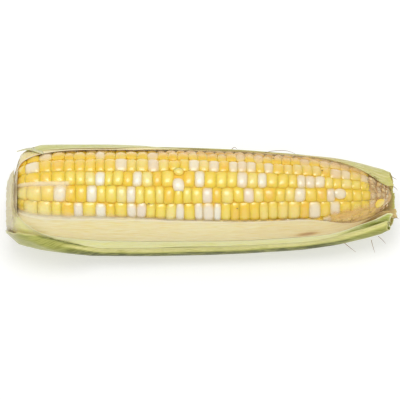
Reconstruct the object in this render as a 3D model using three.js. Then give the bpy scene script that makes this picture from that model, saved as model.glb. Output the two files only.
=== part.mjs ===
// An ear of sweet corn lying on its side in a trimmed husk with a window cut along its top.
// Millimetres, +Z up, +X from the cut stalk end to the tip. Angles go round the ear's long axis:
// 0 is straight up, positive is towards -Y (the front), so 180 is straight down.

import * as THREE from 'three';

// ---- Driving dimensions ----

const LENGTH = 200;
const AXIS_HEIGHT = 28.9; // of the ear's long axis above the surface that the husk lies on
const AXIS_Y = 2.15; // puts the middle of the whole width at Y = 0

// The kernel tops, as radius along the ear, from the stalk end to the tip.
const EAR_PROFILE = [
  [-95.6, 11], [-94.8, 14.2], [-93, 17.3], [-90, 19.7], [-85, 21.4], [-77, 22.4], [-62, 23], [-48, 23.1],
  [-20, 22.9], [0, 22.5], [20, 22], [35, 21.1], [50, 20.1], [62, 18.8], [72, 17], [80, 14.8], [87, 11.6],
  [92, 8], [95, 4.8], [96.4, 2.2],
];
const KERNEL_ROWS = 16;
const FIRST_GROOVE = 6.9; // angle of the groove where row 0 starts
const ROW_ANGLE = 360 / KERNEL_ROWS;
const KERNEL_PITCH = 5.05; // along a row, at mid-length
const BUTT_KERNEL_EXTRA = 7; // the first kernels are much longer
const BUTT_EXTRA_FADES = 10.5; // distance over which that extra length dies away
const TIP_KERNEL_PITCH = 2.3;
const TIP_STARTS = 82; // where the kernels begin to shrink
const TIP_ENDS = 97;
const ROW_WANDER = 1.1; // degrees that a groove strays to either side
const WANDER_LENGTH = 23; // along the ear, for one radian of that swing
// The row beside the front leaf's edge is wider along its middle: one groove strays by so many degrees.
const WIDE_ROW = { groove: 2, by: 5.5, from: -45, full: -5, to: 58, gone: 74 };
const ROW_DRIFT = 0.9; // kernels that a row may run ahead of its neighbour
const ROW_WAVER = 0.35; // and how much that changes along the row
const WAVER_RATE = 0.23; // radians of that change per kernel
const PITCH_JITTER = 0.2; // kernels that a single end may be out of place
const SINK_JITTER = 0.45; // how much lower some kernels stand
const MERGE_WITHIN = 0.12; // kernel ends closer than this share of a kernel share one point
const GROOVE_DEPTH = 0.26; // as a share of the row's width
const SHOULDER_DEPTH = 0.06; // the same for the rim of a kernel's top
const TOP_WIDE = 0.84; // reach of a kernel's top, as a share of its half-size
const TOP_NARROW = 0.46; // where the corners of that top are cut off
const TOP_SQUARE = 0.72; // reach of the four-cornered tops under the husk
const TIP_POINT = 0.7; // length of the cone that closes the tip
const WINDOW_ROWS = [13, 14, 15, 0, 1]; // rows in the window, with rounder kernels
const SEED = 41;

const STALK_RADIUS = 10.2;
const STALK_FLARE = 2.6; // how much wider the stalk is where it meets the cob
const STALK_FROM = -99.4;
const STALK_TO = -95.6;
const STALK_BEVEL = 0.7; // takes the sharp edge off both ends

// The inside of the husk, as radius along the ear. It is wider than the ear at both ends.
const HUSK_PROFILE = [
  [-100, 10.2], [-97, 13.4], [-94, 17.6], [-91, 20.3], [-88, 21.7], [-80, 22.8], [-65, 23.2], [-50, 23.3],
  [-26, 23.2], [0, 22.8], [19, 22.4], [35, 21.5], [50, 20.6], [65, 19.2], [81, 15.8], [88.5, 13.6],
  [100, 10.4],
];
const LEAF_THICKNESS = 0.66;
const FIRST_CLEARANCE = 0.5; // between the kernels and the first leaf
const LEAF_STEP = 1.4; // from one leaf to the next
const LOOSE_STEP = 2.2; // the same on the low front side, where the husk is pushed open
const LOOSE_ANGLE = 108;
const LOOSE_SPREAD = 60;
const COLLAR_REACH = 3; // how far past its cut a collar still lifts the leaves outside it
const COLLAR_RAMP = 2; // distance over which that lift falls to nothing
const EDGE_MARGIN = 13; // degrees past its edge that a leaf still lifts those outside it
const EDGE_RAMP = 26; // degrees over which they settle again
const STEEPEST = 1.45; // limit on how much a slope of the husk stretches its layers

// How tightly the leaves lie, along the ear.
const STEP_SHARE = [[-100, 0.78], [-85, 0.97], [-70, 1.04], [100, 1.04]];
const LOOSE_SHARE = [
  [-100, 0.5], [-88, 0.61], [-80, 0.72], [-70, 0.85], [-60, 0.94], [-26, 0.97], [0, 0.93], [20, 0.87],
  [50, 0.84], [66, 0.75], [80, 0.72], [90, 0.75], [100, 0.7],
];

const STALK_SHIFT = 3.8; // the stalk end bends this far to the front
const STALK_SHIFT_ENDS = -92;

// Behind the strip that the ear presses on, the outermost leaf is spread flat on the surface. It is spread
// fully between two places along the ear and between two angles round it, and not at all a way past them.
const SPREAD = { x: [-92, -80, 45, 75], angle: [172, 180, 197, 207] };

const LEAF_LINES = [
  -99, -97.6, -96.3, -95, -93, -90, -86, -80, -71, -58, -42, -24, -6, 12, 30, 45, 58, 69, 79, 87, 93,
];
const STALK_GAP = 0.8; // a leaf has no line closer than this to its stalk end
const TIP_GAP = 5; // or than this to its tip end
const COLLAR_LINE = -96.3; // the cut of the window's stalk end

// Each leaf runs from its free edge to its hidden edge, as angles along the ear. A collar carries the
// leaf's base on past the free edge, behind the window. Leaves are listed from the inside out.
const LEAVES = [
  {
    name: 'husk_inner_front',
    color: 0xe6dba6,
    free: [
      [-100, 45], [-95, 50], [-80, 52], [-50, 51], [0, 55], [35, 57], [50, 56], [62, 61], [70, 69], [78, 78],
      [87, 83], [100, 84],
    ],
    hidden: [[-100, 165], [0, 156], [100, 162]],
    from: -98.4,
    to: 100,
    tipCut: { angle: 100, depth: 0 },
    columns: 9,
    lift: 0.1,
  },
  {
    name: 'husk_inner_back',
    color: 0xe2d9a4,
    free: [
      [-96.3, -12], [-95.3, -22], [-94, -33], [-92, -40], [-89, -43], [-80, -50], [-68, -58], [-52, -60],
      [-36, -60], [-20, -68], [0, -76], [25, -78], [45, -74], [60, -66], [73, -55], [84, -42], [91, -29],
      [96, -17], [100, -8],
    ],
    hidden: [[-100, -215], [0, -220], [100, -212]],
    from: -97.9,
    to: 99.4,
    tipCut: { angle: -62, depth: 2.4 },
    columns: 12,
    collar: 30,
    collarColumns: 3,
    lift: 0.1,
  },
  {
    name: 'husk_second_front',
    color: 0xd9dc9c,
    free: [[-100, 74], [-80, 92], [0, 110], [60, 108], [100, 94]],
    hidden: [[-100, 150], [100, 146]],
    from: -92,
    to: 97,
    tipCut: { angle: 75, depth: 1 },
    columns: 7,
    lift: 0,
  },
  {
    name: 'husk_middle_front',
    color: 0xd3dc90,
    free: [
      [-96.3, 26], [-95, 44], [-93, 56], [-88, 66], [-82, 74], [-72, 83], [-60, 89], [-47, 93], [0, 99],
      [25, 98], [50, 96], [65, 93], [75, 91], [84, 86], [90, 80], [95, 71], [100, 62],
    ],
    hidden: [[-100, 200], [0, 215], [100, 205]],
    from: -99.8,
    to: 99.4,
    tipCut: { angle: 98, depth: 3.4 },
    columns: 11,
    collar: -40,
    collarColumns: 4,
    lift: 0.3,
  },
  {
    name: 'husk_middle_back',
    color: 0xc5cf84,
    free: [
      [-97, -50], [-93, -44], [-86, -52], [-75, -58], [-60, -62], [-45, -63], [-30, -70], [-15, -86],
      [0, -96], [40, -100], [100, -92],
    ],
    hidden: [[-100, -165], [100, -172]],
    from: -97,
    to: 95,
    tipCut: { angle: -90, depth: 0 },
    columns: 6,
    lift: 0.1,
  },
  {
    name: 'husk_outer_front',
    color: 0xa9b052,
    free: [
      [-100, 78], [-97.5, 71], [-93, 67.5], [-88, 69], [-84, 73], [-78, 81], [-72.6, 88], [-65, 94],
      [-50, 108], [0, 111], [50, 108], [65, 104], [75, 99], [84, 94], [90, 89], [100, 80],
    ],
    hidden: [[-100, 152], [0, 158], [100, 150]],
    from: -100,
    to: 97.4,
    tipCut: { angle: 80, depth: 2.6 },
    columns: 7,
    lift: 0.8,
  },
  {
    name: 'husk_outer_under',
    color: 0x9aa548,
    free: [[-97, 150], [-85, 138], [-60, 132], [0, 128], [60, 124], [100, 118]],
    hidden: [[-97, 215], [-88, 238], [-60, 258], [-30, 262], [40, 258], [100, 250]],
    from: -96.8,
    to: 93,
    tipCut: { angle: 180, depth: 0 },
    columns: 10,
    lift: 0.2,
  },
];
const LIFT_SPREAD = 20; // degrees from its free edge over which a leaf lifts
const CUT_WAVE = 0.9; // waviness of the leaves' cut ends
const STALK_CUT = { angle: -72, depth: 3.4 }; // the stalk end is trimmed shorter at the back
const CUT_SPREAD = 68; // degrees to either side over which a trim runs out
const SHORTEST = 0.5; // what a trim leaves of a leaf before its second line

// ---- Small helpers ----

const radians = THREE.MathUtils.degToRad;

function hash01(a, b, c) {
  // The same number from 0 to 1 for the same three integers.
  let h = (Math.imul(a, 374761393) + Math.imul(b, 668265263) + Math.imul(c, 1274126177) + SEED) | 0;
  h = Math.imul(h ^ (h >>> 13), 1103515245);
  h = Math.imul(h ^ (h >>> 15), 668265263);
  return ((h ^ (h >>> 16)) >>> 0) / 4294967296;
}

function ease(t) {
  const c = Math.min(1, Math.max(0, t));
  return c * c * (3 - 2 * c);
}

function along(points, x) {
  // A smooth curve through the points that never overshoots them.
  const last = points.length - 1;
  if (x <= points[0][0]) return points[0][1];
  if (x >= points[last][0]) return points[last][1];
  let i = 0;
  while (points[i + 1][0] < x) i += 1;
  const slope = (k) => (points[k + 1][1] - points[k][1]) / (points[k + 1][0] - points[k][0]);
  const tangent = (k) => {
    if (k === 0) return slope(0);
    if (k === last) return slope(last - 1);
    const before = slope(k - 1);
    const after = slope(k);
    return before * after <= 0 ? 0 : (2 * before * after) / (before + after);
  };
  const width = points[i + 1][0] - points[i][0];
  const t = (x - points[i][0]) / width;
  const rest = 1 - t;
  return (
    points[i][1] * (1 + 2 * t) * rest * rest +
    tangent(i) * width * t * rest * rest +
    points[i + 1][1] * t * t * (3 - 2 * t) -
    tangent(i + 1) * width * t * t * rest
  );
}

function slopeAt(profile, x) {
  const reach = 0.05;
  return (along(profile, x + reach) - along(profile, x - reach)) / (2 * reach);
}

function aroundAxis(x, radius, angle, shift = 0) {
  const a = radians(angle);
  return new THREE.Vector3(x, AXIS_Y - shift - radius * Math.sin(a), AXIS_HEIGHT + radius * Math.cos(a));
}

function meshFrom(name, points, triangles, look) {
  const geometry = new THREE.BufferGeometry().setFromPoints(points);
  geometry.setIndex(triangles);
  geometry.computeVertexNormals();
  const mesh = new THREE.Mesh(geometry, new THREE.MeshStandardMaterial(look));
  mesh.name = name;
  return mesh;
}

// ---- The ear: kernels in rows, grown into one body with the cob ----

function kernelPitch(x) {
  const shrink = ease((x - TIP_STARTS) / (TIP_ENDS - TIP_STARTS));
  const butt = BUTT_KERNEL_EXTRA * Math.exp(-(x - EAR_PROFILE[0][0]) / BUTT_EXTRA_FADES);
  return KERNEL_PITCH + butt - (KERNEL_PITCH - TIP_KERNEL_PITCH) * shrink;
}

function kernelScale() {
  // Counts kernels along the surface: a table of x against the number of kernels passed.
  const steps = 2400;
  const from = EAR_PROFILE[0][0];
  const to = EAR_PROFILE.at(-1)[0];
  const dx = (to - from) / steps;
  const xs = [from];
  const counts = [0];
  for (let i = 1; i <= steps; i += 1) {
    const x0 = from + (i - 1) * dx;
    const rise = along(EAR_PROFILE, x0 + dx) - along(EAR_PROFILE, x0);
    xs.push(x0 + dx);
    counts.push(counts[i - 1] + Math.hypot(dx, rise) / kernelPitch(x0 + dx / 2));
  }
  const total = counts[steps];
  const kernels = Math.round(total);
  const xAt = (kernel) => {
    const wanted = (kernel / kernels) * total;
    let low = 0;
    let high = steps;
    while (high - low > 1) {
      const middle = (low + high) >> 1;
      if (counts[middle] <= wanted) low = middle;
      else high = middle;
    }
    const share = (wanted - counts[low]) / (counts[high] - counts[low]);
    return xs[low] + share * dx;
  };
  return { kernels, xAt };
}

function kernelEnd(scale, row, k) {
  // Where kernel k of a row begins. Rows drift against each other in the window, and keep step
  // outside it.
  if (k === 0 || k === scale.kernels) return scale.xAt(k);
  const shown = WINDOW_ROWS.includes(row);
  const own = shown ? row : -1;
  const swing = Math.sin((Math.PI * k) / scale.kernels);
  const drift = shown ? ROW_DRIFT * (hash01(row, 0, 1) - 0.5) * swing : 0;
  const waver = shown ? ROW_WAVER * swing * Math.sin(k * WAVER_RATE + 6 * hash01(row, 0, 2)) : 0;
  return scale.xAt(k + drift + waver + PITCH_JITTER * (hash01(own + 7, k, 3) - 0.5));
}

function grooveAngle(line, x) {
  const phase = 6.28 * hash01(line, 0, 4);
  const own = FIRST_GROOVE + ROW_ANGLE * line + ROW_WANDER * Math.sin(x / WANDER_LENGTH + phase);
  if (line !== WIDE_ROW.groove) return own;
  const grows = ease((x - WIDE_ROW.from) / (WIDE_ROW.full - WIDE_ROW.from));
  const fades = ease((x - WIDE_ROW.to) / (WIDE_ROW.gone - WIDE_ROW.to));
  return own + WIDE_ROW.by * grows * (1 - fades);
}

function onEar(x, angle, depth) {
  // A point on the ear, a depth below the kernel tops.
  const slope = slopeAt(EAR_PROFILE, x);
  const norm = Math.hypot(1, slope);
  const radius = along(EAR_PROFILE, x) - depth / norm;
  return aroundAxis(x + (depth * slope) / norm, radius, angle);
}

function rowWidth(x) {
  return along(EAR_PROFILE, x) * radians(ROW_ANGLE);
}

function makeEar() {
  const points = [];
  const triangles = [];
  const scale = kernelScale();
  const line = (j) => ((j % KERNEL_ROWS) + KERNEL_ROWS) % KERNEL_ROWS;
  const place = (x, angle, depth) => points.push(onEar(x, angle, depth)) - 1;
  // Seen from outside, a loop that is anticlockwise in (x, angle) is clockwise, so it is turned.
  const face = (a, b, c) => triangles.push(a, c, b);

  // Each groove has a point at every kernel end of the two rows beside it.
  const grooves = [];
  for (let j = 0; j < KERNEL_ROWS; j += 1) {
    const ends = [];
    for (const row of [line(j - 1), j]) {
      for (let k = 0; k <= scale.kernels; k += 1) ends.push({ x: kernelEnd(scale, row, k), row, k });
    }
    ends.sort((p, q) => p.x - q.x);
    const groove = { points: [], at: new Map() };
    for (let n = 0; n < ends.length; ) {
      const group = [ends[n]];
      const near = MERGE_WITHIN * kernelPitch(ends[n].x);
      while (n + group.length < ends.length && ends[n + group.length].x - ends[n].x < near) {
        group.push(ends[n + group.length]);
      }
      const x = group.reduce((sum, end) => sum + end.x, 0) / group.length;
      const angle = grooveAngle(j, x);
      for (const end of group) groove.at.set(`${end.row}:${end.k}`, groove.points.length);
      groove.points.push({ id: place(x, angle, GROOVE_DEPTH * rowWidth(x)), x, angle });
      n += group.length;
    }
    grooves.push(groove);
  }

  const quarters = [[1, 1], [-1, 1], [-1, -1], [1, -1]];
  const squareRing = quarters.map(([u, v]) => [u * TOP_SQUARE, v * TOP_SQUARE]);
  const roundRing = quarters.flatMap(([u, v]) => {
    const pair = [[u * TOP_WIDE, v * TOP_NARROW], [u * TOP_NARROW, v * TOP_WIDE]];
    return u * v > 0 ? pair : pair.reverse();
  });

  for (let row = 0; row < KERNEL_ROWS; row += 1) {
    const right = row + 1 === KERNEL_ROWS ? 360 : 0; // the last row meets groove 0 after a full turn
    const near = grooves[row];
    const far = grooves[line(row + 1)];
    for (let k = 0; k < scale.kernels; k += 1) {
      const cut = (groove) => {
        const from = groove.at.get(`${row}:${k}`);
        return groove.points.slice(from, groove.at.get(`${row}:${k + 1}`) + 1);
      };
      const nearSide = cut(near);
      const farSide = cut(far).map((p) => ({ ...p, angle: p.angle + right }));
      const corners = [nearSide[0], nearSide.at(-1), farSide.at(-1), farSide[0]];
      const x = corners.reduce((sum, p) => sum + p.x, 0) / 4;
      const angle = corners.reduce((sum, p) => sum + p.angle, 0) / 4;
      const halfLength = (corners[1].x + corners[2].x - corners[0].x - corners[3].x) / 4;
      const halfWidth = (corners[2].angle + corners[3].angle - corners[0].angle - corners[1].angle) / 4;
      const bearing = (p) => Math.atan2((p.angle - angle) / halfWidth, (p.x - x) / halfLength);

      const sink = SINK_JITTER * hash01(row, k, 5) * (rowWidth(x) / rowWidth(0));
      const shown = WINDOW_ROWS.includes(row);
      const ring = (shown ? roundRing : squareRing).map(([u, v]) => {
        const p = { x: x + u * halfLength, angle: angle + v * halfWidth };
        return { ...p, id: place(p.x, p.angle, sink + SHOULDER_DEPTH * rowWidth(x)) };
      });
      stitch([...nearSide, ...farSide.reverse()], ring, bearing, face);
      if (shown) {
        const top = place(x, angle, sink);
        ring.forEach((p, n) => face(p.id, ring[(n + 1) % ring.length].id, top));
      } else {
        face(ring[0].id, ring[1].id, ring[2].id);
        face(ring[0].id, ring[2].id, ring[3].id);
      }
    }
  }

  // The stalk end is a flat disc, and the tip a small cone.
  const butt = points.push(aroundAxis(points[grooves[0].points[0].id].x, 0, 0)) - 1;
  const tip = points.push(aroundAxis(EAR_PROFILE.at(-1)[0] + TIP_POINT, 0, 0)) - 1;
  for (let j = 0; j < KERNEL_ROWS; j += 1) {
    const here = grooves[j].points;
    const next = grooves[line(j + 1)].points;
    face(here[0].id, next[0].id, butt);
    face(next.at(-1).id, here.at(-1).id, tip);
  }
  return meshFrom('ear', points, triangles, { color: 0xf3cf4c, roughness: 0.35 });
}

function stitch(outer, inner, bearing, face) {
  // Fills the band between two loops that both run anticlockwise round the same middle.
  const turned = (loop) => {
    const marked = loop.map((p) => ({ id: p.id, at: bearing(p) }));
    const start = marked.reduce((best, p, n) => (p.at < marked[best].at ? n : best), 0);
    const from = [...marked.slice(start), ...marked.slice(0, start)];
    return [...from, { id: from[0].id, at: from[0].at + 2 * Math.PI }];
  };
  const a = turned(outer);
  const b = turned(inner);
  let i = 0;
  let j = 0;
  while (i + 1 < a.length || j + 1 < b.length) {
    const nextA = i + 1 < a.length ? a[i + 1].at : Infinity;
    const nextB = j + 1 < b.length ? b[j + 1].at : Infinity;
    if (nextA <= nextB) {
      face(a[i].id, a[i + 1].id, b[j].id);
      i += 1;
    } else {
      face(a[i].id, b[j + 1].id, b[j].id);
      j += 1;
    }
  }
}

// ---- The husk: leaves in layers round the ear ----

function nearTo(angle, middle) {
  return angle - 360 * Math.round((angle - middle) / 360);
}

function coverOf(leaf, x, angle) {
  // 1 where the leaf lies or nearly lies, falling to 0 a little way past its edges.
  const free = along(leaf.free, x);
  const hidden = along(leaf.hidden, x);
  const low = Math.min(free, hidden);
  const high = Math.max(free, hidden);
  const band = (from, to) => {
    const at = nearTo(angle, (from + to) / 2);
    const before = ease((at - (from - EDGE_MARGIN - EDGE_RAMP)) / EDGE_RAMP);
    return before * ease((to + EDGE_MARGIN + EDGE_RAMP - at) / EDGE_RAMP);
  };
  const main = band(low, high);
  if (leaf.collar === undefined) return main;
  const collar = band(Math.min(low, leaf.collar), Math.max(high, leaf.collar));
  return Math.max(main, collar * ease((COLLAR_LINE + COLLAR_REACH - x) / COLLAR_RAMP));
}

function stepAt(x, angle) {
  const tight = LEAF_STEP * along(STEP_SHARE, x);
  const loose = LOOSE_STEP * along(LOOSE_SHARE, x);
  const away = Math.min(1, Math.abs(nearTo(angle, LOOSE_ANGLE) - LOOSE_ANGLE) / LOOSE_SPREAD);
  return tight + Math.max(0, loose - tight) * (1 - ease(away));
}

function offsetOf(order, x, angle) {
  // How far a leaf's inner face lies from the inside of the husk, over the leaves inside it.
  let offset = FIRST_CLEARANCE;
  for (let inside = 0; inside < order; inside += 1) {
    offset += stepAt(x, angle) * coverOf(LEAVES[inside], x, angle);
  }
  return offset;
}

function stalkShift(x) {
  return STALK_SHIFT * (1 - ease((x + LENGTH / 2) / (STALK_SHIFT_ENDS + LENGTH / 2)));
}

function within([start, full, end, gone], value) {
  return ease((value - start) / (full - start)) * (1 - ease((value - end) / (gone - end)));
}

function spreadOut(x, angle, radius) {
  // How much further out the outermost leaf lies where it is spread on the surface.
  const share = within(SPREAD.x, x) * within(SPREAD.angle, angle);
  return share > 0 ? share * Math.max(0, AXIS_HEIGHT / -Math.cos(radians(angle)) - radius) : 0;
}

function onHusk(order, x, angle, lift) {
  // The inner and outer point of a leaf. Under the ear the layers are pressed flat on the surface.
  const stretch = Math.min(STEEPEST, Math.hypot(1, slopeAt(HUSK_PROFILE, x)));
  const inside = along(HUSK_PROFILE, x);
  const outermost = LEAVES.length - 1;
  const whole = (offsetOf(outermost, x, angle) + LEAF_THICKNESS) * stretch;
  const down = -Math.cos(radians(angle));
  const room = down > 0.5 ? AXIS_HEIGHT / down - inside : Infinity;
  const press = Math.min(1, room / whole);
  const offset = (offsetOf(order, x, angle) + lift) * stretch * press;
  const thickness = LEAF_THICKNESS * stretch * press;
  const shift = stalkShift(x);
  const at = (radius) => aroundAxis(x, radius, angle, shift);
  const inner = inside + offset;
  const further = order === outermost ? spreadOut(x, angle, inner + thickness) : 0;
  return [at(inner + further), at(inner + thickness + further)];
}

function cutBack(cut, angle, unevenness) {
  // How far short of its full length a leaf is cut.
  const away = Math.abs(nearTo(angle, cut.angle) - cut.angle) / CUT_SPREAD;
  return cut.depth * (1 - ease(away)) + CUT_WAVE * unevenness;
}

function makeLeaf(leaf, order) {
  const lines = LEAF_LINES.filter((x) => x > leaf.from + STALK_GAP && x < leaf.to - TIP_GAP);
  lines.unshift(leaf.from);
  lines.push(leaf.to);
  const collarColumns = leaf.collarColumns ?? 0;
  const columns = collarColumns + leaf.columns;
  const last = lines.length - 1;
  const points = [];
  const ids = new Map();

  lines.forEach((line, i) => {
    for (let c = 0; c <= columns; c += 1) {
      if (c < collarColumns && line > COLLAR_LINE) continue;
      const free = along(leaf.free, line);
      const hidden = along(leaf.hidden, line);
      const angle =
        c < collarColumns
          ? THREE.MathUtils.lerp(leaf.collar, free, c / collarColumns)
          : THREE.MathUtils.lerp(free, hidden, (c - collarColumns) / leaf.columns);
      let x = line;
      if (i === 0) x = Math.min(line + cutBack(STALK_CUT, angle, hash01(order, c, 6)), lines[1] - SHORTEST);
      if (i === last) x = line - cutBack(leaf.tipCut, angle, hash01(order, c, 7));
      const lift = leaf.lift * (1 - ease(Math.abs(angle - free) / LIFT_SPREAD));
      const [inner, outer] = onHusk(order, x, angle, lift);
      ids.set(`${i}:${c}`, points.length);
      points.push(inner, outer);
    }
  });

  const triangles = [];
  const forward = along(leaf.hidden, 0) > along(leaf.free, 0);
  const face = (a, b, c) => (forward ? triangles.push(a, c, b) : triangles.push(a, b, c));
  const known = (i, c) => ids.has(`${i}:${c}`);
  const has = (i, c) => known(i, c) && known(i, c + 1) && known(i + 1, c);
  const wall = (p, q) => {
    face(q + 1, p + 1, p);
    face(q + 1, p, q);
  };
  for (let i = 0; i + 1 < lines.length; i += 1) {
    for (let c = 0; c < columns; c += 1) {
      if (!has(i, c)) continue;
      const [p00, p10] = [ids.get(`${i}:${c}`), ids.get(`${i + 1}:${c}`)];
      const [p01, p11] = [ids.get(`${i}:${c + 1}`), ids.get(`${i + 1}:${c + 1}`)];
      face(p00 + 1, p10 + 1, p11 + 1);
      face(p00 + 1, p11 + 1, p01 + 1);
      face(p00, p11, p10);
      face(p00, p01, p11);
      if (!has(i, c - 1)) wall(p00, p10);
      if (!has(i + 1, c)) wall(p10, p11);
      if (!has(i, c + 1)) wall(p11, p01);
      if (!has(i - 1, c)) wall(p01, p00);
    }
  }
  return meshFrom(leaf.name, points, triangles, { color: leaf.color, roughness: 0.6 });
}

// ---- The stalk stub, cut across ----

function makeStalk() {
  const length = STALK_TO - STALK_FROM;
  const outline = [
    new THREE.Vector2(0, 0),
    new THREE.Vector2(STALK_RADIUS - STALK_BEVEL, 0),
    new THREE.Vector2(STALK_RADIUS, STALK_BEVEL),
    new THREE.Vector2(STALK_RADIUS + STALK_FLARE, length - STALK_BEVEL),
    new THREE.Vector2(STALK_RADIUS + STALK_FLARE - STALK_BEVEL, length),
    new THREE.Vector2(0, length),
  ];
  const lathe = new THREE.LatheGeometry(outline, 32);
  lathe.deleteAttribute('uv');
  const mesh = new THREE.Mesh(lathe, new THREE.MeshStandardMaterial({ color: 0xd8dca0, roughness: 0.7 }));
  mesh.name = 'stalk';
  mesh.rotation.z = -Math.PI / 2;
  mesh.position.set(STALK_FROM, AXIS_Y - stalkShift((STALK_FROM + STALK_TO) / 2), AXIS_HEIGHT);
  return mesh;
}

const corn = new THREE.Group();
corn.add(makeEar());
corn.add(makeStalk());
LEAVES.forEach((leaf, order) => corn.add(makeLeaf(leaf, order)));

export default corn;
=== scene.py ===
# Looks for the ear of sweet corn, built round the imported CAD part. Lengths are in millimetres, and make_piece
# writes metres. +X runs from the cut stalk end to the tip. Angles go round the ear's long axis: 0 is straight
# up and positive is towards -Y, the front.
import math

import bpy
import numpy as np
from mathutils import Matrix, Vector


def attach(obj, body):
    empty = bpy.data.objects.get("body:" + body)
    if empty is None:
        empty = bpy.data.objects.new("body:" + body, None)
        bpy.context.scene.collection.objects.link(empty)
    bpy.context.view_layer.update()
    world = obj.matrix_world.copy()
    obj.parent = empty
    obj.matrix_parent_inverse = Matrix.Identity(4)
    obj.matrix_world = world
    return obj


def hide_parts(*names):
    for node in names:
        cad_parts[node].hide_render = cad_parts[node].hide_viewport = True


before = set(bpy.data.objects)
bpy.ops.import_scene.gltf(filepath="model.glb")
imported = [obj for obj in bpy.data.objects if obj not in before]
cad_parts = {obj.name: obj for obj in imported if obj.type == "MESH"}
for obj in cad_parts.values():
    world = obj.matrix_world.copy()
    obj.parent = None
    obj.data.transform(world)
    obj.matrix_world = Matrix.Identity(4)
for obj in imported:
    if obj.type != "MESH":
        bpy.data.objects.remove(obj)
scene = bpy.context.scene
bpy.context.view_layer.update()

MM = 0.001
SEED = 41

# ---- The part's own dimensions, the same as in the CAD source ----

AXIS_HEIGHT = 28.9
AXIS_Y = 2.15
# The radius of the kernels' tops and of the inside of the husk, along the ear.
EAR_PROFILE = [
    (-95.6, 11), (-94.8, 14.2), (-93, 17.3), (-90, 19.7), (-85, 21.4), (-77, 22.4), (-62, 23), (-48, 23.1),
    (-20, 22.9), (0, 22.5), (20, 22), (35, 21.1), (50, 20.1), (62, 18.8), (72, 17), (80, 14.8), (87, 11.6),
    (92, 8), (95, 4.8), (96.4, 2.2),
]
HUSK_PROFILE = [
    (-100, 10.2), (-97, 13.4), (-94, 17.6), (-91, 20.3), (-88, 21.7), (-80, 22.8), (-65, 23.2), (-50, 23.3),
    (-26, 23.2), (0, 22.8), (19, 22.4), (35, 21.5), (50, 20.6), (65, 19.2), (81, 15.8), (88.5, 13.6),
    (100, 10.4),
]
BUTT, TIP = EAR_PROFILE[0][0], EAR_PROFILE[-1][0]
KERNEL_ROWS = 16
FIRST_GROOVE = 6.9
ROW_ANGLE = 360 / KERNEL_ROWS
KERNEL_PITCH = 5.05
BUTT_KERNEL_EXTRA = 7
BUTT_EXTRA_FADES = 10.5
TIP_KERNEL_PITCH = 2.3
TIP_STARTS = 82
TIP_ENDS = 97
ROW_WANDER = 1.1
ROW_WANDER_LENGTH = 23
ROW_DRIFT = 0.9
ROW_WAVER = 0.35
ROW_WAVER_RATE = 0.23
PITCH_JITTER = 0.2
SINK_JITTER = 0.45
WINDOW_ROWS = (13, 14, 15, 0, 1)
# One row is wider beside the front leaf, fully between the two middle places along the ear.
WIDE_ROW = dict(groove=2, by=5.5, places=(-45, -5, 58, 74))
SCALE_SAMPLES = 2401

LEAF_THICKNESS = 0.66
FIRST_CLEARANCE = 0.5
LEAF_STEP = 1.4
LOOSE_STEP = 2.2
LOOSE_ANGLE = 108
LOOSE_SPREAD = 60
EDGE_MARGIN = 13
EDGE_RAMP = 26
STEEPEST = 1.45
# A collar closes round the stalk end. This much of it counts for the leaves outside it.
COLLAR_REACH = 3
COLLAR_LINE = -96.3
COLLAR_RAMP = 2
COLLAR_MARGIN = 1
COLLAR_MARGIN_RAMP = 1.5
STALK_SHIFT = 3.8
STALK_SHIFT_ENDS = -92
STEP_SHARE = [(-100, 0.78), (-85, 0.97), (-70, 1.04), (100, 1.04)]
LOOSE_SHARE = [
    (-100, 0.5), (-88, 0.61), (-80, 0.72), (-70, 0.85), (-60, 0.94), (-26, 0.97), (0, 0.93), (20, 0.87),
    (50, 0.84), (66, 0.75), (80, 0.72), (90, 0.75), (100, 0.7),
]
# The outermost leaf is spread on the surface, fully between the two middle values.
SPREAD_X = (-92, -80, 45, 75)
SPREAD_ANGLE = (172, 180, 197, 207)
SETTLE_GAP = 0.03  # left under a leaf's free edge
SETTLE_MOST = 4.2
SETTLE_SPREAD = 12
SETTLE_RAMP = 5
SETTLE_ENDS = 6
STALK_CUT = (-72, 3.4)
CUT_SPREAD = 68
LIFT_REACH = 8
# ---- Finer shapes and looks ----

VEIN_RATE = 50
VEIN_HEIGHT = 0.04
SWAY_HEIGHT = 0.09
LEAF_ROWS = 120
COLLAR_ROWS = 12
COLUMNS_PER_DEGREE = 0.9
COLLAR_COLUMNS = 40
EDGE_CROWDING = 1.15  # columns stand closer near a leaf's free edge
EDGE_WANDER = 0.7
RAGGED_END = 0.5
RIM_SHARE = 0.35  # of a leaf's thickness, at its very edge
RIM_TAPER = 4
INSIDE_FADES = 1.2
LEAST_INNER_HEIGHT = 0.15
ACROSS_PER_DEGREE = 0.4

COB_DEPTH = 0.22  # under the kernel tops, as a share of the row's width
COB_RINGS = 160
COB_SIDES = 96
COB_TIP = 0.6
FINE_ROWS = (12, 13, 14, 15, 0, 1, 2)
FINE_KERNEL = (28, 9)  # sides and rings
PLAIN_KERNEL = (16, 5)
# A kernel's sides under its dome: shares of its half length and half width, and how deep.
KERNEL_SKIRT = [(0.98, 0.98, 0.4), (0.8, 0.88, 1.6)]
# Ranges of each kernel's draws. u runs along the row and v across it. turn is in degrees.
KERNEL_RANGES = dict(
    square=(0.32, 0.48), rise_u=(1.25, 1.6), rise_v=(1.9, 2.4), round_u=(0.86, 0.92), round_v=(0.86, 0.92),
    dimple=(-0.03, 0.04), lean=(-0.1, 0.1), skew=(-0.04, 0.04), fit_u=(1.02, 1.09), turn=(-0.8, 0.8),
)
LAST_KERNEL_END = 95.5
UNRIPE_FROM = 84.5  # where the small unripe kernels start on the back and the top
FRONT_UNRIPE_FROM = 87.5
UNRIPE_ROWS = (11, 12, 13, 14, 15, 0)
WHITE_SHARE = 0.21
WHITE_DRAW = 96397  # the draw that says which kernels are white
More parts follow.
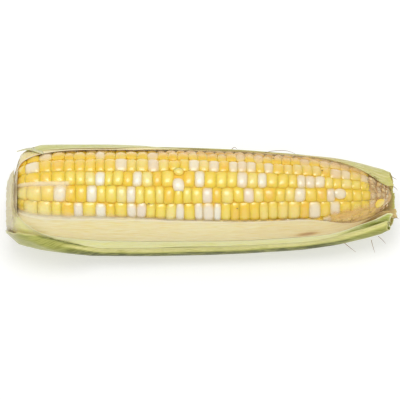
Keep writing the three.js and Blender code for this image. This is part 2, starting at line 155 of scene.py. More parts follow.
# Kernels that differ from the draw, by row and place along the ear.
PLAIN_WHITES = [
    (0, -71.1), (0, -38.4), (0, 22.8), (0, 63.3), (1, -34.7), (1, -29.5), (1, -9.5), (1, -1), (1, 8.7),
    (13, -52.3), (13, 69.7), (13, 74.4), (14, 35), (15, -3.6), (15, 29.9),
]
PLAIN_YELLOWS = [
    (0, -92.5), (0, -82), (0, -66.7), (0, -46.5), (0, -41.4), (0, -17.4), (0, 18.4), (0, 40), (0, 61.5),
    (1, -92.7), (1, -6.6), (1, 46.9), (13, -47), (14, 29.7), (14, 44), (14, 63.3),
    (15, -93.6), (15, -80.8), (15, -17.4), (15, 3.9),
]
ODD_KERNELS = [  # row, x, kind and how the kernel differs
    (15, -13.3, "white", dict(turn=9.5, half_a=10.2, half_x=2.9, raise_by=0.25, square=0.85)),
    (14, -12.6, "yellow", dict(turn=2, half_a=9.5, square=0.8, raise_by=0.2)),
    (0, 70.4, "white", dict(turn=-2.5, half_x=3.1, half_a=9, square=0.9, raise_by=0.35)),
]
EXTRA_KERNELS = [
    (15, -12.4, "yellow", dict(turn=-11.2, half_a=6.2, half_x=2.5, square=0.85, raise_by=0.1)),
    (1, 90, "yellow", dict(half_a=13.5, half_x=2.3, square=0.95, rise_u=4.4, rise_v=4.4, raise_by=1.5)),
]

FILM_THICKNESS = 0.06
FILM_STEPS_PER_MM = 1.5
FILM_COLUMNS = 16
STRAND_POINTS = 12
STRAND_SIDES = 5
SILK_RADIUS = 0.15
SILK_COUNT = 90
SPECKS = [(17.9, 36), (36.3, -45), (77, 70), (86, 60), (-27, 29.5), (-9, 30), (61, -24)]
SPECK_RADIUS = 0.24
LOOSE_HAIRS = [  # each by how it looks from the camera: along, across and nearer than the ear's axis
    [(15, 23.4, 2), (16.4, 24.4, 2), (17.8, 23.6, 2)],
    [(32, 21.6, 3), (36, 22.6, 3), (41, 22.9, 3), (44.5, 22.4, 3), (47.5, 21.2, 3)],
    [(72.5, -24, 6), (75.5, -26.4, 7), (78.6, -28.8, 8)],
    [(86.5, -22.5, 5), (87.2, -25.5, 6), (88.4, -29.2, 7)],
    [(90, -20.5, 4), (92, -22.3, 5), (94, -24.4, 5)],
    [(96.5, 10, 2), (98.4, 9, 2), (99.4, 8.4, 2)],
    [(96.8, 5.4, 2), (98.5, 4.4, 2), (100, 2.8, 2)],
    [(98, -11.4, 2), (99.4, -11.2, 2), (100.6, -11.6, 2)],
]
FLAP_ENDS = (-81, -94.8)
FLAP_RADIUS = [(0, 22.6), (0.5, 23.6), (1, 21.9)]
FLAP_ANGLE = -64
FLAP_HALF_WIDTHS = (18, 0.8)
FLAP_THICKNESS = 0.35

# Colours are red, green and blue from 0 to 255.
KERNEL_GLAZE = (255, 246, 214)
# Painted shade for kernels at the back, and the golden tone towards the tip.
KERNEL_SHADE_AND_GOLD = (222, 172, 64)
# Paler kernel tops: partly the kernel's own crown, partly a painted highlight.
KERNEL_CROWN_AND_HIGHLIGHT = (255, 246, 200)
DRY_HUSK = (200, 188, 164)
PALE_DRY_HUSK = (218, 208, 186)
STAIN = (208, 168, 94)
DEEP_STAIN = (168, 118, 48)
INSIDE_HUSK = (212, 184, 126)
STRAW = (222, 204, 154)
RUST = (138, 80, 46)
SILK_COLOR = (138, 106, 74)
STALK_STRAND = (196, 168, 108)

CAMERA_ELEVATION = 72
CAMERA_ROLL = 0.344
FOCAL = 400
SENSOR = 36
PIXEL = 0.5115  # millimetres for a pixel of the photograph
FRAME_PIXELS = 400
AXIS_PIXEL = 194.8  # the ear's axis, counted from the top of the picture
AIM_PIXELS = -2  # the middle of the picture, counted along the ear
FLOOR_REACH = 3
FLOOR_GREY = 0.6
FLOOR_GLOW = 0.46
SKY_STRENGTH = 0.68
KEY_PLACE = (-0.03, 0.06, 0.9)
KEY_TARGET = (0, 0, 0.03)
KEY_SIZE = (0.4, 0.36)
KEY_POWER = 3.1


# ---- Small helpers. Those up to spread_out are the same rules as in the CAD source ----

def hash01(a, b, c):
    """A seeded draw from 0 to 1."""
    h = (a * 374761393 + b * 668265263 + c * 1274126177 + SEED) & 0xFFFFFFFF
    h = ((h ^ (h >> 13)) * 1103515245) & 0xFFFFFFFF
    h = ((h ^ (h >> 15)) * 668265263) & 0xFFFFFFFF
    return (h ^ (h >> 16)) / 4294967296


def ease(t):
    """A smooth step from 0 to 1."""
    c = np.clip(t, 0, 1)
    return c * c * (3 - 2 * c)


def mix(a, b, t):
    return a + (b - a) * t


def within(places, value):
    """1 between the middle two places, and 0 past the outer two."""
    start, full, end, gone = places
    return ease((value - start) / (full - start)) * (1 - ease((value - end) / (gone - end)))


def along(points, x):
    """A smooth curve through the points that never overshoots them."""
    px = np.array([p[0] for p in points], float)
    py = np.array([p[1] for p in points], float)
    slope = np.diff(py) / np.diff(px)
    before, after = slope[:-1], slope[1:]
    flat = before * after <= 0
    inner = np.where(flat, 0, 2 * before * after / np.where(flat, 1, before + after))
    tangent = np.concatenate([slope[:1], inner, slope[-1:]])
    x = np.clip(np.asarray(x, float), px[0], px[-1])
    i = np.clip(np.searchsorted(px, x, side="left") - 1, 0, len(px) - 2)
    width = px[i + 1] - px[i]
    t = (x - px[i]) / width
    rest = 1 - t
    return (
        py[i] * (1 + 2 * t) * rest * rest + tangent[i] * width * t * rest * rest
        + py[i + 1] * t * t * (3 - 2 * t) - tangent[i + 1] * width * t * t * rest
    )


def slope_at(profile, x):
    reach = 0.05
    return (along(profile, x + reach) - along(profile, x - reach)) / (2 * reach)


def around_axis(x, radius, angle, shift=0):
    """Points round the ear's axis, or round an axis moved so far to the front."""
    a = np.radians(angle)
    x, radius, a, shift = np.broadcast_arrays(x, radius, a, shift)
    return np.stack([x, AXIS_Y - shift - radius * np.sin(a), AXIS_HEIGHT + radius * np.cos(a)], -1)


def kernel_pitch(x):
    """A kernel's length along its row."""
    shrink = ease((x - TIP_STARTS) / (TIP_ENDS - TIP_STARTS))
    butt = BUTT_KERNEL_EXTRA * np.exp(-(x - BUTT) / BUTT_EXTRA_FADES)
    return KERNEL_PITCH + butt - (KERNEL_PITCH - TIP_KERNEL_PITCH) * shrink


def kernel_scale():
    """The kernels in a row, and a function from a kernel's number to its place."""
    xs = np.linspace(BUTT, TIP, SCALE_SAMPLES)
    rise = np.diff(along(EAR_PROFILE, xs))
    middle = (xs[1:] + xs[:-1]) / 2
    steps = np.hypot(np.diff(xs), rise) / kernel_pitch(middle)
    counts = np.concatenate([[0], np.cumsum(steps)])
    kernels = int(counts[-1] + 0.5)
    return kernels, lambda k: float(np.interp(k / kernels * counts[-1], counts, xs))


KERNELS, kernel_x = kernel_scale()


def kernel_end(row, k):
    """Where a kernel starts along the ear. Rows in the window wander by draws of their own."""
    if k in (0, KERNELS):
        return kernel_x(k)
    shown = row in WINDOW_ROWS
    own = row if shown else -1
    swing = math.sin(math.pi * k / KERNELS)
    drift = ROW_DRIFT * (hash01(row, 0, 1) - 0.5) * swing if shown else 0
    waver = ROW_WAVER * swing * math.sin(k * ROW_WAVER_RATE + 6 * hash01(row, 0, 2)) if shown else 0
    return kernel_x(k + drift + waver + PITCH_JITTER * (hash01(own + 7, k, 3) - 0.5))


def kernel_middle(row, k):
    return (kernel_end(row, k) + kernel_end(row, k + 1)) / 2


def groove_angle(line, x):
    """The angle of the groove between two rows, counted on past a full turn."""
    turn = 360 * (line // KERNEL_ROWS)
    own = line % KERNEL_ROWS
    wide = WIDE_ROW["by"] * within(WIDE_ROW["places"], x) if own == WIDE_ROW["groove"] else 0
    wander = ROW_WANDER * np.sin(x / ROW_WANDER_LENGTH + 6.28 * hash01(own, 0, 4))
    return FIRST_GROOVE + ROW_ANGLE * own + wander + wide + turn


def on_ear(x, angle, depth):
    """Points so deep under the tops of the kernels."""
    slope = slope_at(EAR_PROFILE, x)
    norm = np.hypot(1, slope)
    return around_axis(x + depth * slope / norm, along(EAR_PROFILE, x) - depth / norm, angle)


def row_width(x):
    return along(EAR_PROFILE, x) * math.radians(ROW_ANGLE)


def near_to(angle, middle):
    """The same angle, within half a turn of a middle."""
    return angle - 360 * np.round((angle - middle) / 360)


def band(angle, start, end, margin, ramp):
    """1 between two angles and a margin past them, falling to 0 over a ramp beyond."""
    at = near_to(angle, (start + end) / 2)
    return ease((at - start + margin + ramp) / ramp) * ease((end + margin + ramp - at) / ramp)


def lies(leaf, x, angle, margin, ramp, line, run):
    """1 where a leaf lies and a margin past it, falling to 0 beyond. line is where its collar starts."""
    free, hidden = along(leaf["free"], x), along(leaf["hidden"], x)
    low, high = np.minimum(free, hidden), np.maximum(free, hidden)
    main = band(angle, low, high, margin, ramp)
    if "collar" not in leaf:
        return main
    collar = band(angle, np.minimum(low, leaf["collar"]), np.maximum(high, leaf["collar"]), margin, ramp)
    return np.maximum(main, collar * ease((line - x) / run))


def step_at(x, angle):
    """How much further out the next leaf lies: more where the husk is loose."""
    tight = LEAF_STEP * along(STEP_SHARE, x)
    loose = LOOSE_STEP * along(LOOSE_SHARE, x)
    away = np.abs(near_to(angle, LOOSE_ANGLE) - LOOSE_ANGLE) / LOOSE_SPREAD
    return tight + np.maximum(0, loose - tight) * (1 - ease(away))


def offset_of(order, x, angle):
    """How far a leaf's inner face is from the inside of the husk, before it settles."""
    offset = FIRST_CLEARANCE
    line = COLLAR_LINE + COLLAR_REACH
    for inside in range(order):
        cover = lies(LEAVES[inside], x, angle, EDGE_MARGIN, EDGE_RAMP, line, COLLAR_RAMP)
        offset = offset + step_at(x, angle) * cover
    return offset


def stalk_shift(x):
    """How far the husk moves to the front round the stalk."""
    return STALK_SHIFT * (1 - ease((x + 100) / (STALK_SHIFT_ENDS + 100)))


def leaf_stretch(x, angle):
    """How much the slope stretches the layers and the surface below presses them."""
    stretch = np.minimum(STEEPEST, np.hypot(1, slope_at(HUSK_PROFILE, x)))
    whole = (offset_of(len(LEAVES) - 1, x, angle) + LEAF_THICKNESS) * stretch
    down = -np.cos(np.radians(angle))
    room = np.where(down > 0.5, AXIS_HEIGHT / np.maximum(down, 0.5) - along(HUSK_PROFILE, x), np.inf)
    return stretch * np.minimum(1, room / whole)


def on_husk(x, angle, offset, further=0):
    """A point at an offset from the inside of the husk, and so much further out."""
    radius = along(HUSK_PROFILE, x) + offset * leaf_stretch(x, angle)
    return around_axis(x, radius + further, angle, stalk_shift(x))


def spread_out(x, angle, offset):
    """How much further out the outermost leaf lies where it is spread on the surface."""
    radius = along(HUSK_PROFILE, x) + offset * leaf_stretch(x, angle)
    down = np.maximum(-np.cos(np.radians(angle)), 0.5)
    return within(SPREAD_X, x) * within(SPREAD_ANGLE, angle) * np.maximum(0, AXIS_HEIGHT / down - radius)


def edge_distance(leaf, x, angle):
    """How far a point of a leaf is from its free edge and its collar's."""
    free = along(leaf["free"], x)
    across = np.abs(angle - free) * np.radians(along(HUSK_PROFILE, x))
    if "collar" not in leaf:
        return across
    line = leaf["collar_line"]
    past = np.maximum(0, line - x)
    behind = np.sign(leaf["collar"] - free) * (angle - free) > 0
    return np.where(x < line, np.where(behind, past, np.hypot(across, past)), across)


def waves(t, seed, octaves, base):
    """Smooth seeded noise in one variable, about -1 to 1."""
    total = np.zeros_like(np.asarray(t, float))
    for n in range(octaves):
        rate = base * 1.9 ** n
        height = 0.62 ** n * (0.6 + 0.8 * hash01(seed, n, 22))
        total = total + np.sin(t * rate + 6.28 * hash01(seed, n, 21)) * height
    return total / 1.9


def ripple(order, x, angle):
    """The veins and the gentle sway of a leaf's face."""
    sway = waves(x * 0.05 + angle * 0.09, order * 5 + 3, 3, 1.0)
    return np.cos(np.radians(angle) * VEIN_RATE) * VEIN_HEIGHT + SWAY_HEIGHT * sway


def settled(order, x, angle):
    """The offset of a leaf's inner face. Its free edge settles on what lies beneath it."""
    leaf = LEAVES[order]
    distance = edge_distance(leaf, x, angle)
    offset = offset_of(order, x, angle) + leaf["lift"] * (1 - ease(distance / LIFT_REACH))
    floor = (along(EAR_PROFILE, x) + 0.1 - along(HUSK_PROFILE, x)) / leaf_stretch(x, angle)
    for inside in range(order):
        top = settled(inside, x, angle) + LEAF_THICKNESS + ripple(inside, x, angle)
        line = LEAVES[inside].get("collar_line", 0) + COLLAR_MARGIN
        present = lies(LEAVES[inside], x, angle, 0, SETTLE_RAMP, line, COLLAR_MARGIN_RAMP)
        floor = np.maximum(floor, mix(floor, top, present))
    reach = ease((100 - np.abs(x)) / SETTLE_ENDS) * (leaf["settles"](x) if "settles" in leaf else 1)
    drop = np.clip(offset - floor - SETTLE_GAP, 0, SETTLE_MOST)
    return offset - drop * reach * (1 - ease(distance / leaf.get("settle_spread", SETTLE_SPREAD)))


# ---- The leaves, from the inside out ----

def inner_front_stain(x, angle, distance):
    """Brown towards the tip, with one darker spot."""
    tip = 0.6 * ease((x - 58) / 24) * (1 - 0.4 * ease(distance / 9))
    spot = 2 * np.exp(-(((x - 53.5) / 5) ** 2) - ((angle - 85 + 0.5 * (x - 53.5)) / 5) ** 2)
    return np.clip(tip + 0.22 * ease(x / 60) + spot, 0, 2)


def outer_front_hue(x, distance):
    """Olive behind a light edge, and a dark line along the edge near the stalk end. The dark line is painted
    shade and the deep olive partly so.
    """
    inland = mix(0.05, 1 - 0.4 * ease((x - 62) / 20), ease((distance - 1.5) / 0.9))
    # Painted shade: a dark line along the leaf's edge near the stalk end.
    painted_edge_shade = 0.9 * ease((x + 88) / 8) * (1 - ease((x + 64) / 10)) * (1 - ease((distance - 0.3) / 0.8))
    return np.maximum(mix(0.5, inland, ease((x + 78) / 18)), painted_edge_shade)


# free and hidden are the angles of a leaf's two edges along the ear. A cut is its angle and its depth. hue
# picks from the leaf's colours, stain browns it, and rimless leaves out its pale rim, which is partly painted
# light. distance is to the free edge.
LEAVES = [
    dict(
        name="husk_inner_front",
        free=[(-100, 45), (-95, 50), (-80, 52), (-50, 51), (0, 55), (35, 57), (50, 56), (62, 61), (70, 69),
              (78, 78), (87, 83), (100, 84)],
        hidden=[(-100, 165), (0, 156), (100, 162)],
        ends=(-98.4, 100), lift=0.1, slot="husk_cream",
        hue=lambda x, distance: 0.12 + 0.5 * ease(distance / 20), stain=inner_front_stain,
    ),
    dict(
        name="husk_inner_back",
        free=[(-96.3, -12), (-95.3, -22), (-94, -33), (-92, -40), (-89, -43), (-80, -50), (-68, -58),
              (-52, -60), (-36, -60), (-20, -68), (0, -76), (25, -78), (45, -74), (60, -66), (73, -55),
              (84, -42), (91, -29), (96, -17), (100, -8)],
        hidden=[(-100, -215), (0, -220), (100, -212)],
        ends=(-97.9, 98.4), tip_cut=(-62, 2.4), stalk_cut=(-66, 4.8), collar=50, collar_line=-93.9, lift=0.1,
        slot="husk_cream", rimless=lambda x: ease((x + 45) / 25),
        hue=lambda x, distance: 0.3 + 0.7 * ease((x + 45) / 35),
        stain=lambda x, angle, distance: 0.35 * ease((x + 30) / 30) * (1 - ease((x - 66) / 14)),
    ),
    dict(
        name="husk_second_front",
        free=[(-100, 74), (-80, 92), (0, 110), (60, 108), (100, 94)],
        hidden=[(-100, 150), (100, 146)],
        ends=(-92, 97), tip_cut=(75, 1), lift=0, slot="husk_pale_green",
        hue=lambda x, distance: 0.5 + 0 * x,
    ),
    dict(
        name="husk_middle_front",
        free=[(-96.3, 26), (-95, 44), (-93, 56), (-88, 66), (-82, 74), (-72, 83), (-60, 89), (-47, 93),
              (0, 99), (25, 98), (50, 96), (65, 93), (75, 91), (84, 86), (90, 80), (95, 71), (100, 62)],
        hidden=[(-100, 200), (0, 215), (100, 205)],
        ends=(-99.8, 99.4), tip_cut=(98, 3.4), collar=-40, collar_line=-95.7, lift=0.3,
        slot="husk_pale_green", hue=lambda x, distance: 0.15 + 0.95 * ease((x - 60) / 26),
    ),
    dict(
        name="husk_middle_back",
        free=[(-97, -50), (-93, -44), (-86, -52), (-75, -58), (-60, -62), (-45, -63), (-30, -70), (-15, -86),
              (0, -96), (40, -100), (100, -92)],
        hidden=[(-100, -165), (100, -172)],
        ends=(-97, 95), stalk_cut=(-66, 11), lift=0.1, slot="husk_green",
        hue=lambda x, distance: 0.3 + 0.4 * ease((distance - 4) / 12) + 0.25 * ease((x - 50) / 30),
    ),
    dict(
        name="husk_outer_front",
        free=[(-100, 78), (-97.5, 71), (-93, 67.5), (-88, 69), (-84, 73), (-78, 81), (-72.6, 88), (-65, 94),
              (-50, 108), (0, 111), (50, 108), (65, 104), (75, 99), (84, 94), (90, 89), (100, 80)],
        hidden=[(-100, 152), (0, 158), (100, 150)],
        ends=(-100, 97.4), tip_cut=(80, 2.6), lift=0.8, slot="husk_olive",
        hue=outer_front_hue, rimless=lambda x: ease((x + 88) / 8) * (1 - ease((x + 60) / 12)), dry=0.4,
        settles=lambda x: ease((x + 92) / 16), settle_spread=5,
    ),
    dict(
        name="husk_outer_under",
        free=[(-97, 150), (-85, 138), (-60, 132), (0, 128), (60, 124), (100, 118)],
        hidden=[(-97, 215), (-88, 238), (-60, 258), (-30, 262), (40, 258), (100, 250)],
        ends=(-96.8, 93), lift=0.2, slot="husk_olive",
        hue=lambda x, distance: 0.6 + 0 * x,
    ),
]


# ---- Making pieces ----

def add_object(name, data):
    added = bpy.data.objects.new(name, data)
    scene.collection.objects.link(added)
    return added


def make_piece(name, points, faces, material, slot=None, replaces=(), attributes=None, sharp=None):
    """A mesh piece from points in millimetres and a list of arrays of faces."""
    mesh = bpy.data.meshes.new(name)
    loops = np.concatenate([f.ravel() for f in faces]).astype(np.int32)
    totals = np.concatenate([np.full(len(f), f.shape[1], np.int32) for f in faces])
    starts = (np.cumsum(totals) - totals).astype(np.int32)
    mesh.vertices.add(len(points))
    mesh.vertices.foreach_set("co", (points * MM).astype(np.float32).ravel())
    mesh.loops.add(len(loops))
    mesh.loops.foreach_set("vertex_index", loops)
    mesh.polygons.add(len(totals))
    mesh.polygons.foreach_set("loop_start", starts)
    mesh.polygons.foreach_set("loop_total", totals)
    mesh.polygons.foreach_set("use_smooth", np.ones(len(totals), bool))
    mesh.update(calc_edges=True)
    mesh.validate()
    for key, values in (attributes or {}).items():
        layer = mesh.attributes.new(key, "FLOAT", "POINT")
        layer.data.foreach_set("value", np.asarray(values, np.float32).ravel())
    if sharp:
        mesh.set_sharp_from_angle(angle=math.radians(sharp))
    piece = add_object(name, mesh)
    mesh.materials.append(material)
    if replaces:
        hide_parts(*replaces)
    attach(piece, "root")


def lattice(rows, columns):
    return np.meshgrid(rows, columns, indexing="ij")


def quads_round(ids):
    """Quads over rings of point numbers."""
    right = np.roll(ids, -1, axis=1)
    return np.stack([ids[:-1], right[:-1], right[1:], ids[1:]], -1).reshape(-1, 4)


def on_both_faces(x, angle, used=slice(None), **values):
    """Attributes for each point of a closed sheet, the same on its outer and its inner face."""
    values = dict(lengthwise=x, across=angle * ACROSS_PER_DEGREE, **values)
    return {name: np.tile(np.broadcast_to(value, x.shape).ravel(), 2)[used] for name, value in values.items()}


def capped_rings(top, rings, bottom):
    """Points, quads and triangles of a form: a point, rings of points and another point."""
    ids = 1 + np.arange(rings[..., 0].size).reshape(rings.shape[:2])
    caps = [(np.zeros_like(ids[0]), np.roll(ids[0], -1), ids[0]),
            (np.full_like(ids[0], 1 + ids.size), ids[-1], np.roll(ids[-1], -1))]
    points = np.concatenate([np.reshape(top, (1, 3)), rings.reshape(-1, 3), np.reshape(bottom, (1, 3))])
    return points, quads_round(ids), np.concatenate([np.stack(cap, -1) for cap in caps])


def joined(solids):
    """The points and both arrays of faces of several solids as those of one."""
    starts = np.cumsum([0] + [len(solid[0]) for solid in solids])
    faces = [np.concatenate([solid[n] + start for solid, start in zip(solids, starts)]) for n in (1, 2)]
    return np.concatenate([solid[0] for solid in solids]), faces


# ---- Materials ----

def srgb(*color):
    """A colour from 0 to 255 as the linear one that a shader takes."""
    shares = [c / 255 for c in color]
    return (*(s / 12.92 if s <= 0.04045 else ((s + 0.055) / 1.055) ** 2.4 for s in shares), 1)


class Nodes:
    """Short ways to build a material's nodes."""

    def __init__(self, name):
        self.material = bpy.data.materials.new(name)
        self.material.use_nodes = True
        self.tree = self.material.node_tree
        self.shader = self.tree.nodes["Principled BSDF"]

    def add(self, kind, **settings):
        node = self.tree.nodes.new(kind)
        for key, value in settings.items():
            setattr(node, key, value)
        return node

    def put(self, socket, value):
        """Link or set a socket. A colour of three numbers is from 0 to 255."""
        if isinstance(value, bpy.types.NodeSocket):
            self.tree.links.new(value, socket)
        else:
            socket.default_value = srgb(*value) if socket.type == "RGBA" and len(value) == 3 else value

    def fill(self, node, **values):
        """Fill a node's inputs by name. An underscore stands for a space."""
        for name, value in values.items():
            self.put(node.inputs[name.replace("_", " ")], value)
        return node

    def attribute(self, name):
        return self.add("ShaderNodeAttribute", attribute_name=name).outputs["Fac"]

    def filled(self, kind, *values, **settings):
        """The output of a node with its first inputs put in."""
        node = self.add(kind, **settings)
        for socket, value in zip(node.inputs, values):
            self.put(socket, value)
        return node.outputs[0]

    def math(self, operation, *values, clamp=False):
        return self.filled("ShaderNodeMath", *values, operation=operation, use_clamp=clamp)

    def ramp(self, fac, stops):
        """stops: each one's position, and its red, green and blue."""
        node = self.fill(self.add("ShaderNodeValToRGB"), Fac=fac)
        elements = node.color_ramp.elements
        while len(elements) > 1:
            elements.remove(elements[-1])
        for n, (position, *color) in enumerate(stops):
            element = elements.new(position) if n else elements[0]
            element.position, element.color = position, srgb(*color)
        return node.outputs[0]

    def mix(self, fac, a, b, blend="MIX"):
        node = self.add("ShaderNodeMix", data_type="RGBA", blend_type=blend)
        self.put(node.inputs[0], fac)
        self.put(node.inputs[6], a)
        self.put(node.inputs[7], b)
        return node.outputs[2]

    def range(self, value, low, high, to_low=0, to_high=1):
        ends = (low, high, to_low, to_high)
        return self.filled("ShaderNodeMapRange", value, *ends, interpolation_type="SMOOTHSTEP")

    def vector(self, x, y, z=0):
        return self.filled("ShaderNodeCombineXYZ", x, y, z)

    def noise(self, vector, scale, detail, roughness):
        node = self.add("ShaderNodeTexNoise")
        self.fill(node, Vector=vector, Scale=scale, Detail=detail, Roughness=roughness)
        return node.outputs["Fac"]

    def streaks(self, squeeze, layer, scale, detail, roughness):
        """Noise on a leaf's own lattice, drawn out along the ear."""
        lengthwise = self.math("MULTIPLY", self.attribute("lengthwise"), squeeze)
        place = self.vector(lengthwise, self.attribute("across"), layer)
        return self.noise(place, scale, detail, roughness)

    def bump(self, height, strength, distance):
        node = self.fill(self.add("ShaderNodeBump"), Height=height, Strength=strength, Distance=distance)
        self.shade(Normal=node.outputs[0])

    def shade(self, **values):
        self.fill(self.shader, **values)

    def place(self):
        return self.add("ShaderNodeTexCoord").outputs["Object"]


def kernel_material(name, tints, skin, glow, spread=(1, 0.7, 0.3), coat=1, roughness=0.4):
    """tints: ramp stops from kernel to kernel. skin: the deeper colour down a kernel's sides, partly its own
    and partly painted shade.
    """
    n = Nodes(name)
    tint = n.ramp(n.attribute("tint"), tints)
    crown = n.attribute("crown")
    mottle = n.noise(n.place(), 260, 3, 0.55)
    glazed = n.mix(1, tint, KERNEL_GLAZE, "SOFT_LIGHT")
    body = n.mix(n.range(mottle, 0.35, 0.8, 0, 0.22), tint, glazed)
    # Painted shade on kernels at the back, together with a golden tone towards the tip.
    body = n.mix(n.math("MULTIPLY", n.attribute("back_shade_and_gold"), 0.7), body, KERNEL_SHADE_AND_GOLD)
    # Paler kernel tops: partly the kernel's own crown, partly a painted highlight.
    body = n.mix(n.range(crown, 0.55, 1, 0, 0.16), body, KERNEL_CROWN_AND_HIGHLIGHT)
    # Deeper colour down the sides: partly the kernel's own, partly painted shade.
    n.shade(
        Base_Color=n.mix(n.range(crown, -0.2, 0.85), skin, body), Roughness=roughness,
        Subsurface_Weight=glow, Subsurface_Radius=spread, Subsurface_Scale=0.003,
        Coat_Weight=coat, Coat_Roughness=0.23,
    )
    n.bump(n.noise(n.place(), 420, 2, 0.5), 0.35, 0.0003)
    return n.material


def leaf_material(name, colors, rim, veins):
    """colors: ramp stops that the leaf's hue attribute picks from."""
    n = Nodes(name)
    grain = n.streaks(0.035, 0, 0.55, 4, 0.6)
    fine = n.streaks(0.05, 3, 2.6, 3, 0.6)
    patches = n.streaks(0.35, 7, 0.11, 3, 0.5)
    fac = n.attribute("hue")
    for change in (grain, patches):
        fac = n.math("ADD", fac, n.math("MULTIPLY", n.math("SUBTRACT", change, 0.5), 0.4), clamp=True)
    base = n.ramp(fac, colors)
    base = n.mix(n.range(fine, 0.45, 0.68, 0, 0.6), base, veins)
    base = n.mix(n.range(fine, 0.48, 0.32, 0, 0.65), base, n.mix(1, base, veins, "MULTIPLY"))
    # Pale rim along the leaf's edges: partly the thin edge's own colour, partly painted light that lifts the
    # shade in the crease under the edge.
    pale = n.range(n.attribute("edge"), 0, 0.9, 1, 0)
    base = n.mix(n.math("MULTIPLY", pale, 0.75), base, rim)
    base = n.mix(n.attribute("dry"), base, n.mix(grain, DRY_HUSK, PALE_DRY_HUSK))
    stain = n.attribute("stain")
    streak = n.math("MULTIPLY", stain, n.range(grain, 0.25, 0.6, 0.45, 1))
    base = n.mix(n.math("MINIMUM", streak, 1), base, STAIN)
    base = n.mix(n.range(stain, 1, 1.9, 0, 0.6), base, DEEP_STAIN)
    inside = n.mix(fine, INSIDE_HUSK, STRAW)
    base = n.mix(n.math("MULTIPLY", n.attribute("inside"), 0.8), base, inside)
    n.shade(
        Base_Color=base, Roughness=0.5, Sheen_Weight=0.15,
        Subsurface_Weight=0.35, Subsurface_Radius=(0.8, 1, 0.4), Subsurface_Scale=0.0012,
    )
    n.bump(fine, 0.25, 0.00025)
    return n.material


def film_material(name, thin, thick, torn):
    """A dried skin that partly shows what lies under it. torn: how patchy it is."""
    n = Nodes(name)
    streaks = n.streaks(0.16, 0, 0.9, 4, 0.65)
    patches = n.streaks(1, 5, 0.22, 3, 0.6)
    base = n.mix(n.range(streaks, 0.3, 0.7), thin, thick)
    body = n.range(streaks, 0.3, 0.7, 0.75 - torn, 0.75 + torn)
    body = n.math("ADD", body, n.range(patches, 0.35, 0.65, -torn, torn))
    n.shade(
        Base_Color=n.mix(n.attribute("rust"), base, RUST), Roughness=0.5,
        Alpha=n.math("MULTIPLY", n.attribute("cover"), body, clamp=True),
    )
    n.bump(streaks, 0.3, 0.0003)
    return n.material


def stalk_material(stalk):
    """Pale pith with darker strands in it, inside a green rind."""
    corners = np.array([corner[:] for corner in stalk.bound_box])
    low, high = corners.min(0), corners.max(0)
    n = Nodes("stalk_cut")
    parts = n.add("ShaderNodeSeparateXYZ")
    n.put(parts.inputs[0], n.place())
    away = [n.math("SUBTRACT", parts.outputs[axis], (low[axis] + high[axis]) / 2) for axis in (1, 2)]
    squared = n.math("ADD", *(n.math("POWER", part, 2) for part in away))
    share = n.math("DIVIDE", n.math("SQRT", squared), (high[1] - low[1]) / 2)
    face = n.ramp(share, [
        (0, 240, 232, 196), (0.62, 232, 222, 174), (0.7, 204, 196, 132), (0.76, 222, 216, 158),
        (0.8, 178, 184, 104),
    ])
    cells = n.fill(n.add("ShaderNodeTexVoronoi"), Vector=n.vector(*away), Scale=850)
    strands = n.range(cells.outputs["Distance"], 0.16, 0.3, 0.7, 0)
    n.shade(Base_Color=n.mix(strands, face, STALK_STRAND), Roughness=0.7)
    return n.material


# ---- The ear ----

def dome(t, cut):
    """How far a round top has dropped between its middle, 0, and its side, 1."""
    return 1 - np.sqrt(1 - (cut * t) ** 2)


def make_kernel(row, k, sides, rings, look):
    """Points, quads and triangles of one closed kernel, and how near its top each point is."""
    x0, x1 = kernel_end(row, k), kernel_end(row, k + 1)
    xc, half_x = (x0 + x1) / 2, (x1 - x0) / 2
    a0, a1 = float(groove_angle(row, xc)), float(groove_angle(row + 1, xc))
    angle, half_a = (a0 + a1) / 2 + look["turn"], look["half_a"] or (a1 - a0) / 2
    half_x = look["half_x"] or half_x
    size = float(row_width(xc) / row_width(0))
    sink = SINK_JITTER * hash01(row, k, 5) * size - look["raise_by"]
    phi = (np.arange(sides) + 0.5) / sides * 2 * np.pi
    r = np.sin(np.linspace(0, np.pi / 2, rings + 1)[1:])[:, None]
    u, v = (np.sign(c) * np.abs(c) ** look["square"] * r for c in (np.cos(phi), np.sin(phi)))
    depth = (look["rise_u"] * dome(u, look["round_u"]) + look["rise_v"] * dome(v, look["round_v"])) * size
    depth = depth + look["dimple"] * np.exp(-((r / 0.35) ** 2)) * size
    crown = 1 - 0.75 * (u * u + v * v)
    u = np.concatenate([u] + [u[-1:] * share for share, _, _ in KERNEL_SKIRT])
    v = np.concatenate([v] + [v[-1:] * share for _, share, _ in KERNEL_SKIRT])
    depth = np.concatenate([depth] + [depth[-1:] + drop * size for _, _, drop in KERNEL_SKIRT])
    crown = np.concatenate([crown, crown[-1:] - 0.2, np.full((1, sides), -1.0)])
    x = xc + (u * look["fit_u"] + look["lean"] * v) * half_x
    a = angle + (v * look["fit_v"] + look["skew"] * u) * half_a
    top = on_ear(xc, angle, sink + look["dimple"] * size)
    bottom = on_ear(xc, angle, depth[-1, 0] + sink)
    crowns = np.concatenate([[1.0], crown.ravel(), [-1.0]])
    return *capped_rings(top, on_ear(x, a, depth + sink), bottom), crowns


def kernel_look(row, k):
    """A kernel's own shape, from its own draws."""
    ranges = enumerate(KERNEL_RANGES.items())
    drawn = {name: mix(*ends, hash01(row, k, 30 + n)) for n, (name, ends) in ranges}
    return dict(fit_v=1.03, half_a=None, half_x=None, raise_by=0, **drawn)


def odd_one(row, k, features):
    """The first of the features, by row and place, that is on this kernel."""
    x = kernel_middle(row, k)
    for feature in features:
        if feature[0] == row and abs(feature[1] - x) < kernel_pitch(x) / 2:
            return feature
    return None


